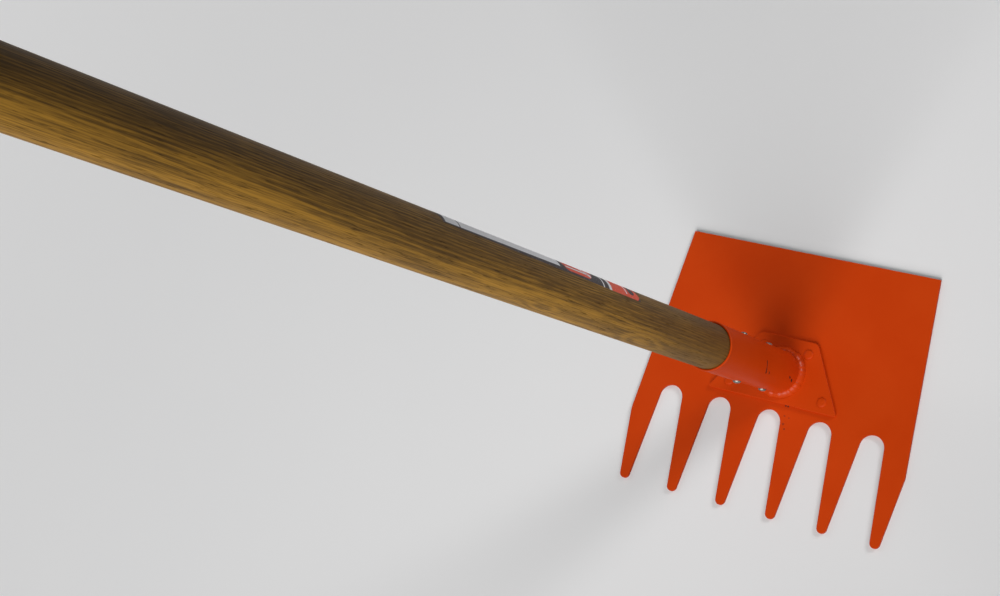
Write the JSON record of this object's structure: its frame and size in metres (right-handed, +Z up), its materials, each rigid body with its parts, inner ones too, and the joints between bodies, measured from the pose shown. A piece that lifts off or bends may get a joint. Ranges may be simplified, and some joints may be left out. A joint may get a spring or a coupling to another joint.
{
  "type": "rake hoe",
  "caption": "Forestry rake-hoe with a flat steel head, tapered tines opposite a hoe edge, and a long round wooden handle in a riveted, welded socket.",
  "frame": {"origin": "where the handle's axis meets the underside of the blade, the flat face the tool stands on", "axes": "+Z up, away from the blade along the handle, which leans 2.56 degrees towards the tines; +Y towards the hoe edge, -Y towards the tines; +X across the blade"},
  "size_m": [0.2806, 0.251, 1.2286],
  "materials": {
    "orange_paint": "glossy baked enamel, chipped at the edges",
    "handle_wood": "dark oiled and lacquered hardwood",
    "rivet_steel": "bright zinc",
    "label_film": "satin printed film"
  },
  "bodies": {
    "root": {"blade": "orange_paint", "reinforcing_plate": "orange_paint", "socket": "orange_paint", "weld_bead": "orange_paint", "handle": "handle_wood", "label": "label_film", "plate_rivet_1": "orange_paint", "plate_rivet_2": "orange_paint", "plate_rivet_3": "orange_paint", "plate_rivet_4": "orange_paint", "handle_rivet_1": "rivet_steel", "handle_rivet_2": "rivet_steel"}
  },
  "joints": []
}
